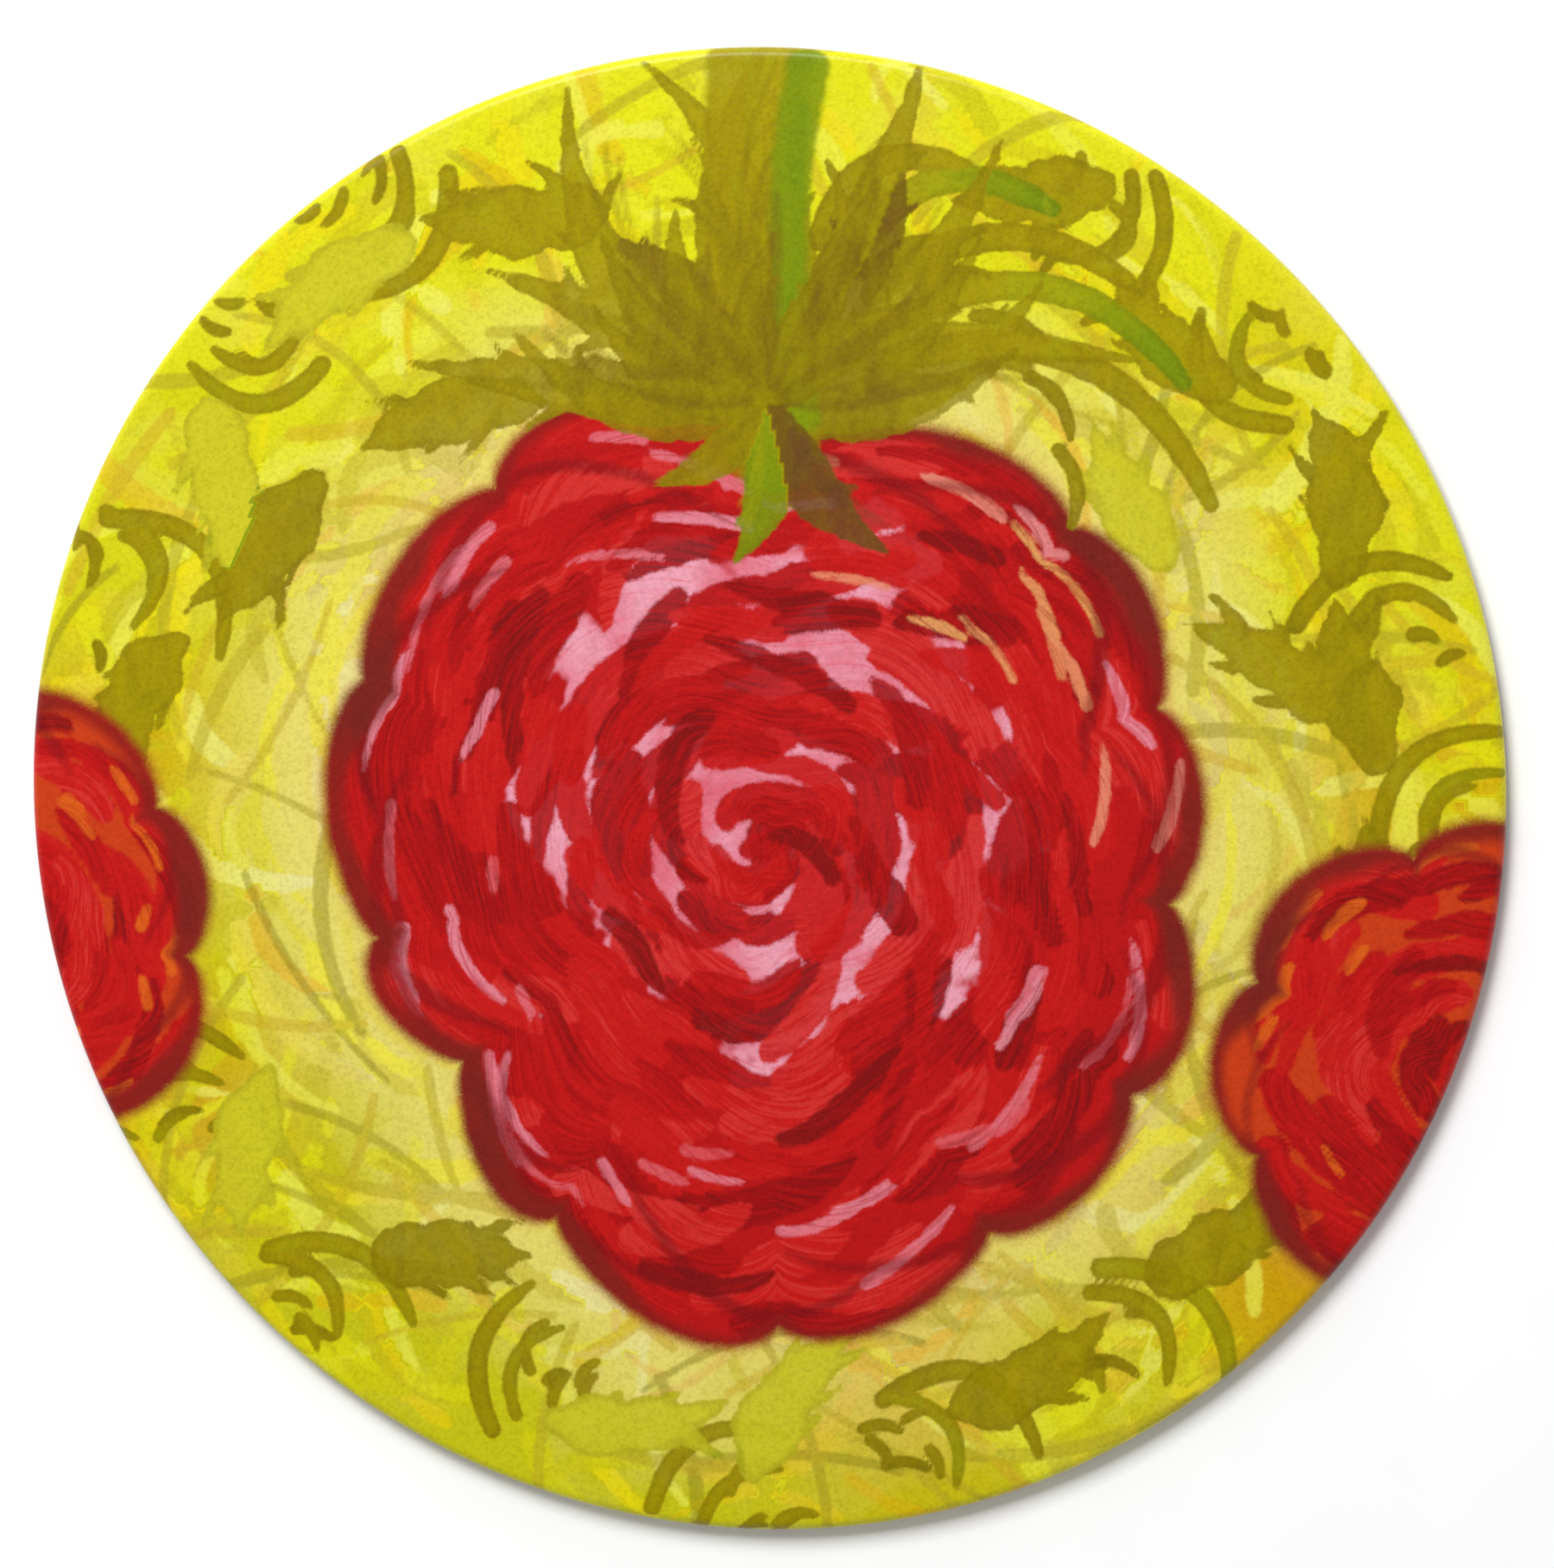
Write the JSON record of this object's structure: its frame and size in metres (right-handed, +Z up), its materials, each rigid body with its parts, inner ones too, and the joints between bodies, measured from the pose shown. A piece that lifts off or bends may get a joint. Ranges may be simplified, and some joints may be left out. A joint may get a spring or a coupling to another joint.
{
  "type": "round placemat",
  "caption": "Round cork-backed placemat: a stiff disc with a printed, finely grained top sheet formed over its rounded edge, to lay under a plate.",
  "frame": {"origin": "centre of the underside, on the table", "axes": "+Z up, square to the printed face; +Y towards the top of the printed picture"},
  "size_m": [0.29, 0.29, 0.005],
  "materials": {
    "printed_sheet": "printed in colour, satin lacquer with a fine pebble grain",
    "hardboard": "pressed wood fibre",
    "cork": "fine granulated cork"
  },
  "bodies": {
    "root": {"printed_sheet": "printed_sheet", "hardboard_core": "hardboard", "cork_backing": "cork"}
  },
  "joints": []
}
